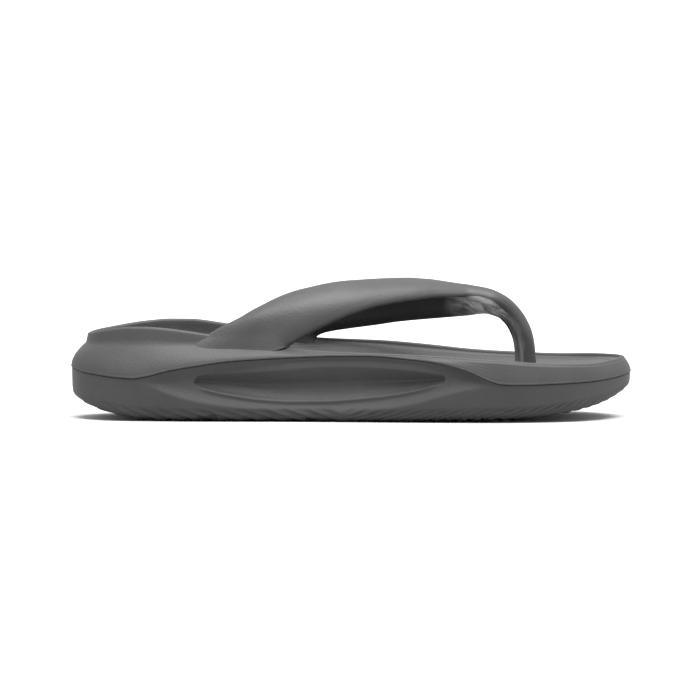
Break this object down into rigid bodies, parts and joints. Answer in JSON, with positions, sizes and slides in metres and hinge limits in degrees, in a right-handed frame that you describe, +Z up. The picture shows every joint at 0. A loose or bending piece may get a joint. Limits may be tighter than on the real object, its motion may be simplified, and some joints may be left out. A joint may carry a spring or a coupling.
{
  "type": "flip flop",
  "caption": "Moulded foam flip flop for the right foot, with a heel cup, a one-piece thong strap and rubber tread pads.",
  "frame": {"origin": "on the ground under the middle of the sole's bounding box", "axes": "+X towards the toes, +Z up, -Y the outer (little toe) side, +Y the inner (big toe) side"},
  "size_m": [0.285, 0.1012, 0.0712],
  "materials": {
    "footbed_foam": "matte",
    "midsole_foam": "matte",
    "strap_foam": "satin",
    "tread_rubber": "matte"
  },
  "bodies": {
    "root": {"footbed": "footbed_foam", "midsole": "midsole_foam", "strap": "strap_foam", "heel_tread_pad": "tread_rubber", "forefoot_tread_pad": "tread_rubber"}
  },
  "joints": []
}
